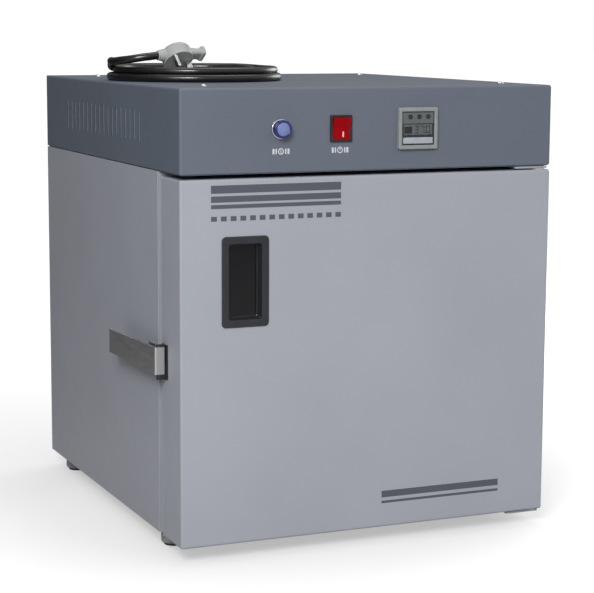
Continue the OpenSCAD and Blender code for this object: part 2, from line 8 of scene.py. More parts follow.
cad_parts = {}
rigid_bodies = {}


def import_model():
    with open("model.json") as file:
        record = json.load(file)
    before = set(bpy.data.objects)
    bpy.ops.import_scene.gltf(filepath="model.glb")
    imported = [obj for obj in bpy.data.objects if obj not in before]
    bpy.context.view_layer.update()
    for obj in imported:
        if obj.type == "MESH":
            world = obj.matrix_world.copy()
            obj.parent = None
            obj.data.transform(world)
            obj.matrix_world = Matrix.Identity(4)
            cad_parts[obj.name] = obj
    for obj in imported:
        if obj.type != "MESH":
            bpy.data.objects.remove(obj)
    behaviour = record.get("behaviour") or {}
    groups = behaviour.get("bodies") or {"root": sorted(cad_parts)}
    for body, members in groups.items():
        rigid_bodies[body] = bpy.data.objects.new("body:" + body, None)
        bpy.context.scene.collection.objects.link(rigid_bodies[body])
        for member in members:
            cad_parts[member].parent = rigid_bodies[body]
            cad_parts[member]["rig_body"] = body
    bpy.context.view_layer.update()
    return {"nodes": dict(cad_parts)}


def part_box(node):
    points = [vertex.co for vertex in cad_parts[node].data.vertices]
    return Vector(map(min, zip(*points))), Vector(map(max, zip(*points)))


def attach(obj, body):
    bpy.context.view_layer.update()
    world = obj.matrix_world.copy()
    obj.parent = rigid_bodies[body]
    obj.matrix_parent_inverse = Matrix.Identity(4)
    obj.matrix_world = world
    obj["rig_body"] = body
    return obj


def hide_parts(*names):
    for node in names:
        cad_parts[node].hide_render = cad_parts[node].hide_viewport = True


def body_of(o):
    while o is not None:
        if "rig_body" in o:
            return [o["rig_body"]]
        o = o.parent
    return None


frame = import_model()

# Lengths below are millimetres from the cabinet's left side (x), the door's face (y) and the
# floor (z), as in the CAD model. to_row() turns them into the row frame's metres.
MM = 0.001
SIDE_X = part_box("left_side_panel")[0].x
FACE_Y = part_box("door_skin")[0].y
ORIGIN = Vector((SIDE_X, FACE_Y, 0.0))


def to_row(x, y, z):
    return ORIGIN + Vector((x, y, z)) * MM


def limits(node):
    """Lowest and highest corner of a CAD node in cabinet millimetres."""
    low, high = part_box(node)
    return (low - ORIGIN) / MM, (high - ORIGIN) / MM


def centre_of(node):
    """Centre (x, z) of a CAD node as seen from the front."""
    low, high = limits(node)
    return (low.x + high.x) / 2, (low.z + high.z) / 2


# ---- Camera, light and floor ----

SENSOR = 36.0
LENS = 109.7
CAMERA_AT = (-0.8940, -2.1227, 0.6068)
CAMERA_YAW = -23.52
CAMERA_PITCH = 81.47
CAMERA_ROLL = 0.29


def add_camera():
    data = bpy.data.cameras.new("camera")
    data.sensor_width = SENSOR
    data.lens = LENS
    data.clip_end = 50.0
    camera = bpy.data.objects.new("camera", data)
    turn = (Matrix.Rotation(math.radians(CAMERA_YAW), 4, "Z")
            @ Matrix.Rotation(math.radians(CAMERA_PITCH), 4, "X")
            @ Matrix.Rotation(math.radians(CAMERA_ROLL), 4, "Z"))
    camera.matrix_world = Matrix.Translation(CAMERA_AT) @ turn
    bpy.context.scene.collection.objects.link(camera)
    bpy.context.scene.camera = camera


def add_area_light(name, at, target, size, power):
    data = bpy.data.lights.new(name, "AREA")
    data.shape = "RECTANGLE"
    data.size, data.size_y = size
    data.energy = power
    light = bpy.data.objects.new(name, data)
    aim = (Vector(target) - Vector(at)).to_track_quat("-Z", "Y")
    light.matrix_world = Matrix.Translation(at) @ aim.to_matrix().to_4x4()
    bpy.context.scene.collection.objects.link(light)


def add_world(dark, bright, towards):
    """Studio light from all round, brightest from one side, over a white only the camera sees."""
    world = bpy.data.worlds.new("studio")
    world.use_nodes = True
    nodes, links = world.node_tree.nodes, world.node_tree.links
    nodes.clear()
    direction = nodes.new("ShaderNodeTexCoord")
    facing_light = nodes.new("ShaderNodeVectorMath")
    facing_light.operation = "DOT_PRODUCT"
    facing_light.inputs[1].default_value = Vector(towards).normalized()
    links.new(direction.outputs["Generated"], facing_light.inputs[0])
    level = nodes.new("ShaderNodeMapRange")
    level.inputs["From Min"].default_value = -1.0
    level.inputs["To Min"].default_value = dark
    level.inputs["To Max"].default_value = bright
    links.new(facing_light.outputs["Value"], level.inputs["Value"])
    glow = nodes.new("ShaderNodeBackground")
    links.new(level.outputs["Result"], glow.inputs["Strength"])
    white = nodes.new("ShaderNodeBackground")
    for background in (glow, white):
        background.inputs["Color"].default_value = (1.0, 1.0, 1.0, 1.0)
    path = nodes.new("ShaderNodeLightPath")
    mix = nodes.new("ShaderNodeMixShader")
    out = nodes.new("ShaderNodeOutputWorld")
    links.new(path.outputs["Is Camera Ray"], mix.inputs["Fac"])
    links.new(glow.outputs["Background"], mix.inputs[1])
    links.new(white.outputs["Background"], mix.inputs[2])
    links.new(mix.outputs["Shader"], out.inputs["Surface"])
    bpy.context.scene.world = world


def floor_paper():
    """Paper that darkens behind and to the left, with a glow that only the camera sees.

    The glow is white all round and weaker under the object, where its shadow falls."""
    paper = bpy.data.materials.new("floor_paper")
    paper.use_nodes = True
    nodes, links = paper.node_tree.nodes, paper.node_tree.links
    shader = nodes["Principled BSDF"]
    shader.inputs["Roughness"].default_value = 0.9
    shader.inputs["Emission Color"].default_value = (1.0, 1.0, 1.0, 1.0)
    place = nodes.new("ShaderNodeTexCoord")

    def fade(operation, vector, start, end, near, far):
        """Goes from near to far as the place, measured against the vector, goes from start to end."""
        measure = nodes.new("ShaderNodeVectorMath")
        measure.operation = operation
        measure.inputs[1].default_value = vector
        links.new(place.outputs["Object"], measure.inputs[0])
        node = nodes.new("ShaderNodeMapRange")
        node.inputs["From Min"].default_value = start
        node.inputs["From Max"].default_value = end
        node.inputs["To Min"].default_value = near
        node.inputs["To Max"].default_value = far
        links.new(measure.outputs["Value"], node.inputs["Value"])
        return node.outputs["Result"]

    shade = fade("DOT_PRODUCT", (-0.5, 0.85, 0.0), start=0.2, end=1.0, near=0.48, far=0.05)
    links.new(shade, shader.inputs["Base Color"])
    glow = fade("LENGTH", (0.0, 0.0, 0.0), start=0.3, end=1.1, near=0.45, far=1.0)
    path = nodes.new("ShaderNodeLightPath")
    seen = nodes.new("ShaderNodeMath")
    seen.operation = "MULTIPLY"
    links.new(path.outputs["Is Camera Ray"], seen.inputs[0])
    links.new(glow, seen.inputs[1])
    links.new(seen.outputs["Value"], shader.inputs["Emission Strength"])
    return paper


def add_floor():
    bm = bmesh.new()
    bmesh.ops.create_circle(bm, cap_ends=True, segments=96, radius=40.0)
    mesh = bpy.data.meshes.new("floor")
    bm.to_mesh(mesh)
    bm.free()
    mesh.materials.append(floor_paper())
    floor = bpy.data.objects.new("floor", mesh)
    bpy.context.scene.collection.objects.link(floor)


# ---- Materials ----

def linear(rgb):
    """Screen colour 0-255 to the linear colour that shaders take."""
    return tuple(c / 3294.6 if c <= 10.3 else ((c / 255 + 0.055) / 1.055) ** 2.4 for c in rgb)


class Finish:
    """A Principled material with small helpers for its procedural nodes. Sizes are metres."""

    def __init__(self, name):
        self.material = bpy.data.materials.new(name)
        self.material.use_nodes = True
        self.nodes = self.material.node_tree.nodes
        self.links = self.material.node_tree.links
        self.shader = self.nodes["Principled BSDF"]
        self.coords = self.nodes.new("ShaderNodeTexCoord")

    def set(self, **values):
        for key, value in values.items():
            self.shader.inputs[key.replace("_", " ")].default_value = value

    def noise(self, size, detail=2.0, stretch=(1.0, 1.0, 1.0)):
        """Noise whose features are about size metres across, longer along stretched axes."""
        mapping = self.nodes.new("ShaderNodeMapping")
        mapping.inputs["Scale"].default_value = [1.0 / (size * s) for s in stretch]
        self.links.new(self.coords.outputs["Object"], mapping.inputs["Vector"])
        texture = self.nodes.new("ShaderNodeTexNoise")
        texture.inputs["Scale"].default_value = 1.0
        texture.inputs["Detail"].default_value = detail
        self.links.new(mapping.outputs["Vector"], texture.inputs["Vector"])
        return texture.outputs["Fac"]

    def spread(self, source, low, high, start=0.3, end=0.7):
        """Maps a texture's start..end to low..high."""
        node = self.nodes.new("ShaderNodeMapRange")
        node.inputs["From Min"].default_value = start
        node.inputs["From Max"].default_value = end
        node.inputs["To Min"].default_value = low
        node.inputs["To Max"].default_value = high
        self.links.new(source, node.inputs["Value"])
        return node.outputs["Result"]

    def blend(self, factor, first, second):
        """Mix of two colours, each a tuple or a socket."""
        node = self.nodes.new("ShaderNodeMix")
        node.data_type = "RGBA"
        self.links.new(factor, node.inputs["Factor"])
        for value, socket in ((first, node.inputs["A"]), (second, node.inputs["B"])):
            if isinstance(value, tuple):
                socket.default_value = (*value, 1.0)
            else:
                self.links.new(value, socket)
        return node.outputs["Result"]

    def edge_wear_and_highlight(self, width=0.0009):
        """1 on edges, fading to 0 at width metres from them. The materials use it to lighten edges: partly
        rubbed wear, partly painted highlight along rounded folds.
        """
        rounded = self.nodes.new("ShaderNodeBevel")
        rounded.samples = 4
        rounded.inputs["Radius"].default_value = width
        geometry = self.nodes.new("ShaderNodeNewGeometry")
        likeness = self.nodes.new("ShaderNodeVectorMath")
        likeness.operation = "DOT_PRODUCT"
        self.links.new(rounded.outputs["Normal"], likeness.inputs[0])
        self.links.new(geometry.outputs["Normal"], likeness.inputs[1])
        return self.spread(likeness.outputs["Value"], 1.0, 0.0, 0.8, 0.995)

    def colour(self, socket):
        self.links.new(socket, self.shader.inputs["Base Color"])

    def roughness(self, socket):
        self.links.new(socket, self.shader.inputs["Roughness"])

    def bump(self, *layers):
        """Each layer is (height texture, strength, distance in metres)."""
        normal = None
        for height, strength, distance in layers:
            node = self.nodes.new("ShaderNodeBump")
            node.inputs["Strength"].default_value = strength
            node.inputs["Distance"].default_value = distance
            self.links.new(height, node.inputs["Height"])
            if normal is not None:
                self.links.new(normal, node.inputs["Normal"])
            normal = node.outputs["Normal"]
        self.links.new(normal, self.shader.inputs["Normal"])


def tinted(rgb, factor):
    return tuple(min(1.0, c * factor) for c in rgb)


def powder_coat(name, rgb, rough=0.46):
    """Baked powder coat: orange peel, slightly uneven shade, edges a little lighter, partly rubbed wear and
    partly painted highlight along the folds.
    """
    base = linear(rgb)
    finish = Finish(name)
    cloud = finish.noise(0.16, detail=3.0)
    speck = finish.noise(0.0006, detail=1.0)
    shade = finish.blend(finish.spread(cloud, 0.0, 1.0), tinted(base, 0.965), tinted(base, 1.035))
    flecked = finish.blend(finish.spread(speck, 0.0, 0.16, 0.45, 0.75), shade, tinted(base, 1.25))
    # painted highlight: the lighter edges stand in for light caught on the rounded folds, as well as rubbed
    # wear
    rubbed_and_highlit = finish.blend(finish.edge_wear_and_highlight(), flecked, tinted(base, 1.18))
    finish.colour(rubbed_and_highlit)
    finish.roughness(finish.spread(finish.noise(0.02, detail=4.0), rough - 0.04, rough + 0.05))
    finish.bump((finish.noise(0.0016, detail=2.0), 0.35, 0.00012),
                (finish.noise(0.03, detail=1.0), 0.25, 0.0006))
    finish.set(Coat_Weight=0.04, Coat_Roughness=0.35, Specular_IOR_Level=0.28)
    return finish.material


def brushed_steel(name, rgb, grain, rough=0.3):
    """Brushed stainless steel. The grain is (x, y, z) stretches of the noise that draws it."""
    base = linear(rgb)
    finish = Finish(name)
    lines = finish.noise(0.0014, detail=3.0, stretch=grain)
    stain = finish.noise(0.05, detail=4.0)
    tone = finish.blend(finish.spread(lines, 0.0, 1.0), tinted(base, 0.94), tinted(base, 1.04))
    finish.colour(finish.blend(finish.spread(stain, 0.0, 0.25), tone, tinted(base, 0.8)))
    finish.roughness(finish.spread(lines, rough - 0.03, rough + 0.04))
    finish.bump((lines, 0.06, 0.00005))
    finish.set(Metallic=1.0, Anisotropic=0.4)
    return finish.material


def bright_metal(name, rgb, rough):
    """Plated or turned metal with faint marks."""
    base = linear(rgb)
    finish = Finish(name)
    marks = finish.noise(0.0011, detail=5.0)
    finish.colour(finish.blend(finish.spread(marks, 0.0, 1.0), tinted(base, 0.85), base))
    finish.roughness(finish.spread(finish.noise(0.004, detail=4.0), rough - 0.05, rough + 0.12))
    finish.bump((marks, 0.12, 0.00005))
    finish.set(Metallic=1.0)
    return finish.material


def moulded_plastic(name, rgb, rough=0.42):
    """Moulded plastic with a fine spark-eroded grain and lighter edges, partly rubbed wear and partly painted
    highlight.
    """
    base = linear(rgb)
    finish = Finish(name)
    cloud = finish.noise(0.012, detail=3.0)
    shade = finish.blend(finish.spread(cloud, 0.0, 1.0), tinted(base, 0.93), tinted(base, 1.07))
    # painted highlight: lighter edges stand in for light caught on the rounded edges, as well as rubbed wear
    finish.colour(finish.blend(finish.edge_wear_and_highlight(), shade, tinted(base, 1.35)))
    finish.roughness(finish.spread(finish.noise(0.006, detail=5.0), rough - 0.07, rough + 0.08))
    finish.bump((finish.noise(0.0007, detail=2.0), 0.3, 0.00008))
    return finish.material


def rubber(name, rgb, rough):
    """Black rubber or soft PVC, dusty in patches."""
    base = linear(rgb)
    finish = Finish(name)
    dust = finish.noise(0.03, detail=6.0)
    finish.colour(finish.blend(finish.spread(dust, 0.0, 0.3, 0.5, 0.8), base, tinted(base, 3.0)))
    finish.roughness(finish.spread(dust, rough - 0.08, rough + 0.15))
    finish.bump((finish.noise(0.0009, detail=3.0), 0.25, 0.0001))
    finish.set(Specular_IOR_Level=0.6)
    return finish.material


def tinted_glass(name, rgb):
    """Dark tinted pane with a film of dust."""
    base = linear(rgb)
    finish = Finish(name)
    film = finish.noise(0.02, detail=5.0)
    finish.colour(finish.blend(finish.spread(film, 0.0, 1.0), base, tinted(base, 1.2)))
    finish.roughness(finish.spread(film, 0.03, 0.12))
    finish.set(Transmission_Weight=0.75, IOR=1.45)
    return finish.material


def mineral_wool(name, rgb):
    """Yellowish mineral wool with tangled fibres."""
    base = linear(rgb)
    finish = Finish(name)
    fibres = finish.noise(0.0012, detail=6.0, stretch=(6.0, 1.0, 1.0))
    lumps = finish.noise(0.02, detail=4.0)
    tone = finish.blend(finish.spread(fibres, 0.0, 1.0), tinted(base, 0.7), tinted(base, 1.15))
    finish.colour(finish.blend(finish.spread(lumps, 0.0, 0.4), tone, tinted(base, 0.75)))
    finish.roughness(finish.spread(fibres, 0.85, 1.0))
    finish.bump((fibres, 0.8, 0.001), (lumps, 0.6, 0.004))
    finish.set(Sheen_Weight=0.3)
    return finish.material


def glossy_colour(name, rgb, rough=0.22, glow=0.0, coat=0.6, shine=0.5):
    """Coloured translucent plastic, polished, with faint flow marks."""
    base = linear(rgb)
    finish = Finish(name)
    flow = finish.noise(0.006, detail=3.0)
    finish.colour(finish.blend(finish.spread(flow, 0.0, 1.0), tinted(base, 0.88), tinted(base, 1.1)))
    finish.roughness(finish.spread(flow, rough - 0.05, rough + 0.06))
    finish.bump((finish.noise(0.0015), 0.08, 0.00005))
    finish.set(Coat_Weight=coat, Coat_Roughness=0.08, Specular_IOR_Level=shine)
    if glow:
        finish.set(Emission_Color=(*base, 1.0), Emission_Strength=glow)
    return finish.material


def print_ink(name, rgb):
    """Screen-printed ink with slightly uneven cover."""
    base = linear(rgb)
    finish = Finish(name)
    cover = finish.noise(0.0012, detail=4.0)
    finish.colour(finish.blend(finish.spread(cover, 0.0, 1.0), tinted(base, 0.9), tinted(base, 1.06)))
    finish.roughness(finish.spread(cover, 0.4, 0.6))
    finish.bump((cover, 0.15, 0.00003))
    return finish.material


FINISHES = {
    "body_paint": powder_coat("body_paint", (150, 153, 161)),
    "housing_paint": powder_coat("housing_paint", (92, 99, 110), rough=0.5),
    "stainless": brushed_steel("stainless", (196, 198, 198), grain=(1.0, 60.0, 1.0)),
    "lever_steel": brushed_steel("lever_steel", (216, 217, 216), grain=(1.0, 60.0, 1.0), rough=0.36),
    "screw_metal": bright_metal("screw_metal", (206, 208, 210), rough=0.2),
    "black_plastic": moulded_plastic("black_plastic", (30, 31, 34)),
    "window_plastic": moulded_plastic("window_plastic", (36, 37, 41), rough=0.36),
    "glass": tinted_glass("glass", (27, 28, 33)),
    "rubber": rubber("rubber", (24, 24, 26), rough=0.55),
    "foot_plastic": moulded_plastic("foot_plastic", (130, 132, 137)),
    "mineral_wool": mineral_wool("mineral_wool", (196, 184, 128)),
    "heater_sheath": brushed_steel("heater_sheath", (104, 98, 94), grain=(1.0, 20.0, 1.0), rough=0.5),
    "bezel_plastic": moulded_plastic("bezel_plastic", (130, 133, 131), rough=0.4),
    "face_plastic": moulded_plastic("face_plastic", (38, 41, 44), rough=0.3),
    "display": glossy_colour("display", (82, 87, 88), rough=0.4, coat=0.1),
    "white_strip": moulded_plastic("white_strip", (152, 158, 164), rough=0.35),
    "key_plastic": moulded_plastic("key_plastic", (34, 36, 40), rough=0.45),
    "rocker_red": glossy_colour("rocker_red", (142, 0, 8), rough=0.4, coat=0.0, shine=0.08),
    "button_blue": glossy_colour("button_blue", (26, 33, 100), rough=0.28, coat=0.2),
    "lens_blue": glossy_colour("lens_blue", (99, 113, 158), rough=0.4, glow=0.1, coat=0.1),
    "component_plastic": moulded_plastic("component_plastic", (224, 220, 205), rough=0.5),
    "relay_black": moulded_plastic("relay_black", (40, 43, 48), rough=0.4),
    "bush_plastic": moulded_plastic("bush_plastic", (206, 202, 186), rough=0.4),
    "cord_rubber": rubber("cord_rubber", (13, 13, 15), rough=0.26),
    "plug_plastic": moulded_plastic("plug_plastic", (152, 155, 154), rough=0.38),
    "pin_metal": bright_metal("pin_metal", (214, 214, 212), rough=0.16),
}
LIGHT_INK = print_ink("light_ink", (192, 195, 199))
DARK_INK = print_ink("dark_ink", (74, 78, 88))
LCD_INK = print_ink("lcd_ink", (24, 27, 30))
GREY_PANEL = moulded_plastic("grey_panel", (85, 90, 91), rough=0.35)


# ---- Building blocks ----

def add_piece(name, bm, body, slot, replaces=(), material=None, smooth=30.0):
    """Turns a bmesh in cabinet millimetres into a finished piece that rides on a body."""
    for vertex in bm.verts:
        vertex.co = to_row(*vertex.co)
    bmesh.ops.remove_doubles(bm, verts=bm.verts, dist=1e-6)
    bmesh.ops.recalc_face_normals(bm, faces=bm.faces)
    mesh = bpy.data.meshes.new(name)
    bm.to_mesh(mesh)
    bm.free()
    mesh.materials.append(material or FINISHES[slot])
    mesh.shade_smooth()
    mesh.set_sharp_from_angle(angle=math.radians(smooth))
    piece = bpy.data.objects.new(name, mesh)
    bpy.context.scene.collection.objects.link(piece)
    flat = piece.modifiers.new("flat_faces", "WEIGHTED_NORMAL")
    flat.keep_sharp = True
    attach(piece, body)
    if replaces:
        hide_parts(*replaces)
    return piece


def rounded_rect(cx, cz, w, h, r, arc=6):
    """Points (x, z) round a rectangle with round corners, anticlockwise."""
    points = []
    for corner, (sx, sz) in enumerate(((1, 1), (-1, 1), (-1, -1), (1, -1))):
        for step in range(arc + 1):
            angle = math.radians(90 * (corner + step / arc))
            points.append((cx + sx * (w / 2 - r) + r * math.cos(angle),
                           cz + sz * (h / 2 - r) + r * math.sin(angle)))
    return points


def circle(cx, cz, r, sides=48):
    return [(cx + r * math.cos(math.tau * k / sides), cz + r * math.sin(math.tau * k / sides))
            for k in range(sides)]


def loft(bm, loops, cap_first=False, cap_last=False):
    """Skins a list of equally long closed loops of 3-D points."""
    rings = [[bm.verts.new(point) for point in loop] for loop in loops]
    count = len(rings[0])
    for ring, following in zip(rings, rings[1:]):
        for k in range(count):
            nxt = (k + 1) % count
            bm.faces.new((ring[k], ring[nxt], following[nxt], following[k]))
    if cap_first:
        bm.faces.new(rings[0])
    if cap_last:
        bm.faces.new(rings[-1])
    return rings


def facing(outline, y):
    """An (x, z) outline as 3-D points at depth y."""
    return [(x, y, z) for x, z in outline]


def fill_between(bm, rings):
    """Flat face between an outer ring of vertices and the rings of its holes."""
    edges = []
    for ring in rings:
        for k, vertex in enumerate(ring):
            edge = bm.edges.get((vertex, ring[(k + 1) % len(ring)]))
            edges.append(edge or bm.edges.new((vertex, ring[(k + 1) % len(ring)])))
    bmesh.ops.triangle_fill(bm, use_beauty=True, use_dissolve=False, edges=edges)


def cut_plate(bm, outer, holes, y0, y1):
    """Plate between y0 and y1, facing the front, with holes through it."""
    fronts, backs = [], []
    for outline in (outer, *holes):
        front, back = loft(bm, [facing(outline, y0), facing(outline, y1)])
        fronts.append(front)
        backs.append(back)
    fill_between(bm, fronts)
    fill_between(bm, backs)


def turned(bm, profile, centre, axis="Y", sides=48):
    """Solid of revolution. The profile is (radius, distance along the axis) points."""
    loops = []
    for radius, along in profile:
        loop = []
        for k in range(sides):
            a = radius * math.cos(math.tau * k / sides)
            b = radius * math.sin(math.tau * k / sides)
            offset = {"X": (along, a, b), "Y": (a, along, b), "Z": (a, b, along)}[axis]
            loop.append(Vector(centre) + Vector(offset))
        loops.append(loop)
    loft(bm, loops, cap_first=True, cap_last=True)


def box(bm, low, high):
    """Plain block, to be bevelled."""
    for vertex in bmesh.ops.create_cube(bm, size=1.0)["verts"]:
        for axis in range(3):
            vertex.co[axis] = low[axis] if vertex.co[axis] < 0 else high[axis]


def bevel_sharp(bm, width, segments=2, angle=30.0):
    """Rounds every edge sharper than the angle."""
    sharp = [edge for edge in bm.edges
             if len(edge.link_faces) == 2 and edge.calc_face_angle(0.0) > math.radians(angle)]
    bmesh.ops.bevel(bm, geom=sharp, offset=width, segments=segments, profile=0.5,
                    affect="EDGES", clamp_overlap=True)


SOFT_EDGE = 0.35
SOFT_CONTROL = 0.25


def softened(node, width):
    """Copy of a CAD node with its sharp edges rounded width millimetres, standing for the node."""
    source = frame["nodes"][node]
    bm = bmesh.new()
    bm.from_mesh(source.data)
    for vertex in bm.verts:
        vertex.co = (vertex.co - ORIGIN) / MM
    bmesh.ops.remove_doubles(bm, verts=bm.verts, dist=0.001)
    bmesh.ops.dissolve_limit(bm, angle_limit=math.radians(1.0), verts=bm.verts, edges=bm.edges)
    bevel_sharp(bm, width)
    add_piece(node + "_finished", bm, body_of(source)[0],
              source.material_slots[0].name, (node,))


# ---- Mains lead ----

CORD_D = 9.5
TOP = limits("control_cover")[1].z
COIL_X = 122.0
COIL_Y = 283.0
LEAD_ROUTE = [
    (235, 550, TOP - 75), (235, 560, TOP - 75), (235, 577, TOP - 69), (235, 590, TOP - 55),
    (235, 595, TOP - 35), (235, 590, TOP - 15), (235, 575, TOP), (235, 555, TOP + 5),
    (235, 535, TOP + 5), (235, 515, TOP + 5), (235, 492, TOP + 5), (235, 468, TOP + 5),
    (232, 447, TOP + 5), (224, 428, TOP + 5), (212, 411, TOP + 5), (195, 399, TOP + 5),
    (176, 391, TOP + 5), (155, 388, TOP + 5),
]
TAIL_ROUTE = [
    (19, 298, TOP + 23.5), (13.5, 284, TOP + 24), (11.5, 271, TOP + 24), (13, 261, TOP + 24.5),
    (16.5, 252, TOP + 25.5), (22.5, 244, TOP + 26.5), (30.5, 238, TOP + 28),
    (39.5, 234.5, TOP + 29.5), (48, 233, TOP + 30.5), (56, 234, TOP + 31.5)
]
# The coil as (angle round its centre, radius, height over the housing): the lower outer turn,
# the lower inner turn, the upper turn in the groove between them, and the last half turn.
COIL_STEPS = [
    (84, 106.5, 5), (95, 104.8, 4.9), (393, 104.8, 4.9), (433, 95.2, 4.9), (713, 95.2, 4.9),
    (753, 95.2, 14.4), (870, 95.2, 14.4), (905, 99.9, 13.2), (1090, 99.9, 13.2),
    (1118, 104.7, 14.4), (1225, 104.7, 14.6), (1243, 104.5, 19.5),
]


def coil_points(step=12.0):
    """Points round the coil, easing from one stage to the next."""
    points = []
    for (a0, r0, z0), (a1, r1, z1) in zip(COIL_STEPS, COIL_STEPS[1:]):
        pieces = max(1, round((a1 - a0) / step))
        for k in range(pieces):
            t = k / pieces
            eased = t * t * (3 - 2 * t)
            angle = math.radians(a0 + t * (a1 - a0))
            radius = r0 + eased * (r1 - r0)
            points.append((COIL_X + radius * math.cos(angle), COIL_Y + radius * math.sin(angle),
                           TOP + z0 + eased * (z1 - z0)))
    return points


def smooth_path(points, steps=4):
    """Catmull-Rom curve through the points."""
    path = []
    padded = [points[0], *points, points[-1]]
    for a, b, c, d in zip(padded, padded[1:], padded[2:], padded[3:]):
        a, b, c, d = Vector(a), Vector(b), Vector(c), Vector(d)
        for k in range(steps):
            t = k / steps
            path.append(0.5 * (2 * b + (c - a) * t + (2 * a - 5 * b + 4 * c - d) * t ** 2
                               + (3 * b - 3 * c + d - a) * t ** 3))
    path.append(Vector(points[-1]))
    return path


def add_cord():
    """The lead as one round curve from the gland through the coil to the plug."""
    path = [to_row(*p) for p in smooth_path(LEAD_ROUTE + coil_points() + TAIL_ROUTE)]
    curve = bpy.data.curves.new("mains_cord", "CURVE")
    curve.dimensions = "3D"
    curve.bevel_depth = CORD_D / 2 * MM
    curve.bevel_resolution = 5
    curve.use_fill_caps = True
    spline = curve.splines.new("POLY")
    spline.points.add(len(path) - 1)
    for point, place in zip(spline.points, path):
        point.co = (*place, 1.0)
    spline.use_smooth = True
    curve.materials.append(FINISHES["cord_rubber"])
    cord = bpy.data.objects.new("mains_cord", curve)
    bpy.context.scene.collection.objects.link(cord)
    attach(cord, "cabinet")
    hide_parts("cord_lead", "cord_coil", "cord_tail")
    return cord


# ---- Plug ----

SLEEVE_AT = (56.0, 234.0, TOP + 31.5)
PLUG_TURN = 10.0
PLUG_ROLL = 40.0
SLEEVE_L = 8.0
PLUG_R = 19.0
PLUG_T = 19.0
GRIP_L = 19.0


def plug_frame():
    """Places the plug: x along it from the sleeve, z out of its back."""
    return (Matrix.Translation(SLEEVE_AT) @ Matrix.Rotation(math.radians(PLUG_TURN), 4, "Z")
            @ Matrix.Rotation(math.radians(-PLUG_ROLL), 4, "X"))


def add_plug_body():
    """Moulded plug: a crowned round body, a finger grip with a raised lip and a ribbed sleeve."""
    bm = bmesh.new()
    half = PLUG_T / 2
    middle = SLEEVE_L + PLUG_R
    # how far the outline stands in from the full radius, and the height as a share of half
    crown = [(0.8, -1.0), (0.25, -0.95), (0.0, -0.87), (0.0, 0.07), (0.45, 0.11), (0.45, 0.18),
             (0.1, 0.21), (0.3, 0.38), (1.1, 0.58), (2.6, 0.76), (4.8, 0.91), (7.5, 0.98), (11.0, 1.0)]
    turned(bm, [(PLUG_R - inset, share * half) for inset, share in crown], (middle, 0, 0), "Z")
    end = middle + PLUG_R + GRIP_L
    # distance along the plug, half width, lowest and highest point of the grip
    grip = [(middle + 8, 8.0, -3.0, 7.5), (end - 17, 7.6, -2.7, 7.0), (end - 9, 7.2, -2.4, 6.6),
            (end - 5.5, 7.6, -2.8, 7.2), (end - 4.2, 8.8, -3.8, 8.3), (end - 1.2, 9.0, -4.0, 8.5),
            (end - 0.3, 8.6, -3.6, 8.1), (end, 7.8, -2.8, 7.3)]
    loft(bm, [[(x, y, z) for y, z in rounded_rect(0, (low + high) / 2, 2 * wide, high - low, 3.2)]
              for x, wide, low, high in grip], cap_first=True, cap_last=True)
    ribs = 4
    sleeve = []
    for k in range(4 * ribs + 1):
        along = (SLEEVE_L + 3) * k / (4 * ribs)
        swell = 0.5 if k % 4 in (1, 2) else 0.0
        sleeve.append((CORD_D / 2 + 0.5 + swell + 1.9 * along / SLEEVE_L, along))
    turned(bm, sleeve, (0, 0, 0), "X", sides=32)
    bmesh.ops.transform(bm, matrix=plug_frame(), verts=bm.verts)
    add_piece("plug_body_finished", bm, "cabinet", "plug_plastic", ("plug_body",))


# ---- Control housing ----

SHEET = 1.5
LOUVRES = 18
LOUVRE_PITCH = 17.0
LOUVRE_Y = 136.0
LOUVRE_H = 36.0
LOUVRE_Z = TOP - 65.0
LOUVRE_SLOT = 3.0
BLADE_DEPTH = 4.0
BLADE_T = 1.2


def boolean_cut(piece, cutter):
    """Cuts the cutter's shape out of the piece and applies the result."""
    modifier = piece.modifiers.new("cut", "BOOLEAN")
    modifier.operation = "DIFFERENCE"
    modifier.solver = "EXACT"
    modifier.object = cutter
    bpy.context.view_layer.update()
    flat = piece.modifiers["flat_faces"]
    flat.show_viewport = False
    result = bpy.data.meshes.new_from_object(
        piece.evaluated_get(bpy.context.evaluated_depsgraph_get()))
    flat.show_viewport = True
    piece.modifiers.remove(modifier)
    piece.data = result
    bpy.data.objects.remove(cutter)


def loose_object(bm):
    """Helper object in the row frame, for a cut."""
    for vertex in bm.verts:
        vertex.co = to_row(*vertex.co)
    mesh = bpy.data.meshes.new("cutter")
    bm.to_mesh(mesh)
    bm.free()
    cutter = bpy.data.objects.new("cutter", mesh)
    bpy.context.scene.collection.objects.link(cutter)
    return cutter


def louvre_positions():
    return [LOUVRE_Y + k * LOUVRE_PITCH for k in range(LOUVRES)]


def add_cover():
    """Folded sheet cover with louvres pressed into both sides."""
    low, high = limits("control_cover")
    bm = bmesh.new()
    box(bm, low, high)
    fold = [edge for edge in bm.edges
            if all(v.co.z > high.z - 1 for v in edge.verts) and min(v.co.y for v in edge.verts) < 1
            or all(v.co.y < 1 for v in edge.verts) and abs(edge.verts[0].co.x - edge.verts[1].co.x) < 1]
    bmesh.ops.bevel(bm, geom=fold, offset=3.0, segments=5, profile=0.5, affect="EDGES")
    hollow = bmesh.new()
    box(hollow, (low.x + SHEET, low.y + SHEET, low.z - 5), (high.x - SHEET, high.y + 5, high.z - SHEET))
    for y in louvre_positions():
        for x in (low.x - 1, high.x - 3):
            box(hollow, (x, y, LOUVRE_Z), (x + 4, y + LOUVRE_SLOT, LOUVRE_Z + LOUVRE_H))
    cover = add_piece("control_cover_finished", bm, "cabinet", "housing_paint", ("control_cover",))
    boolean_cut(cover, loose_object(hollow))
    cover.data.shade_smooth()
    cover.data.set_sharp_from_angle(angle=math.radians(25.0))


